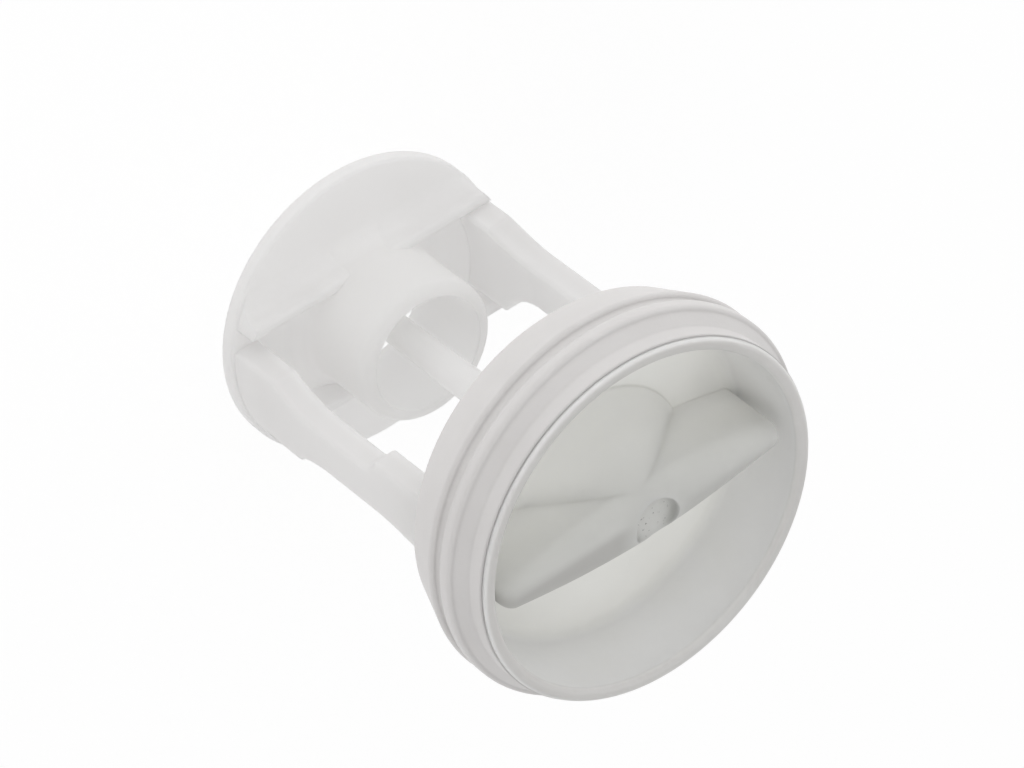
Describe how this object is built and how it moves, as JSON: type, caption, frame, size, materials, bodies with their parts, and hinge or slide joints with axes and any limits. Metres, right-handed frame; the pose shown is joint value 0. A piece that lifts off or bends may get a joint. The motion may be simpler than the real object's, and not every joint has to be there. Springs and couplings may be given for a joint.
{
  "type": "washer pump filter",
  "caption": "Drain pump filter of a washing machine: cup shaped cap with a cross grip and a rubber seal, open cage of arms, end disc with flow tube, and a catch rod on the axis.",
  "frame": {"origin": "centre of the end disc's back face, on which the filter stands", "axes": "+Z along the axis from the end disc to the cap's mouth, X along the arms and the grip"},
  "size_m": [0.0664, 0.0664, 0.0744],
  "materials": {
    "milky_polypropylene": "satin",
    "white_rubber": "matte"
  },
  "bodies": {
    "root": {"filter_body": "milky_polypropylene", "seal": "white_rubber"}
  },
  "joints": []
}
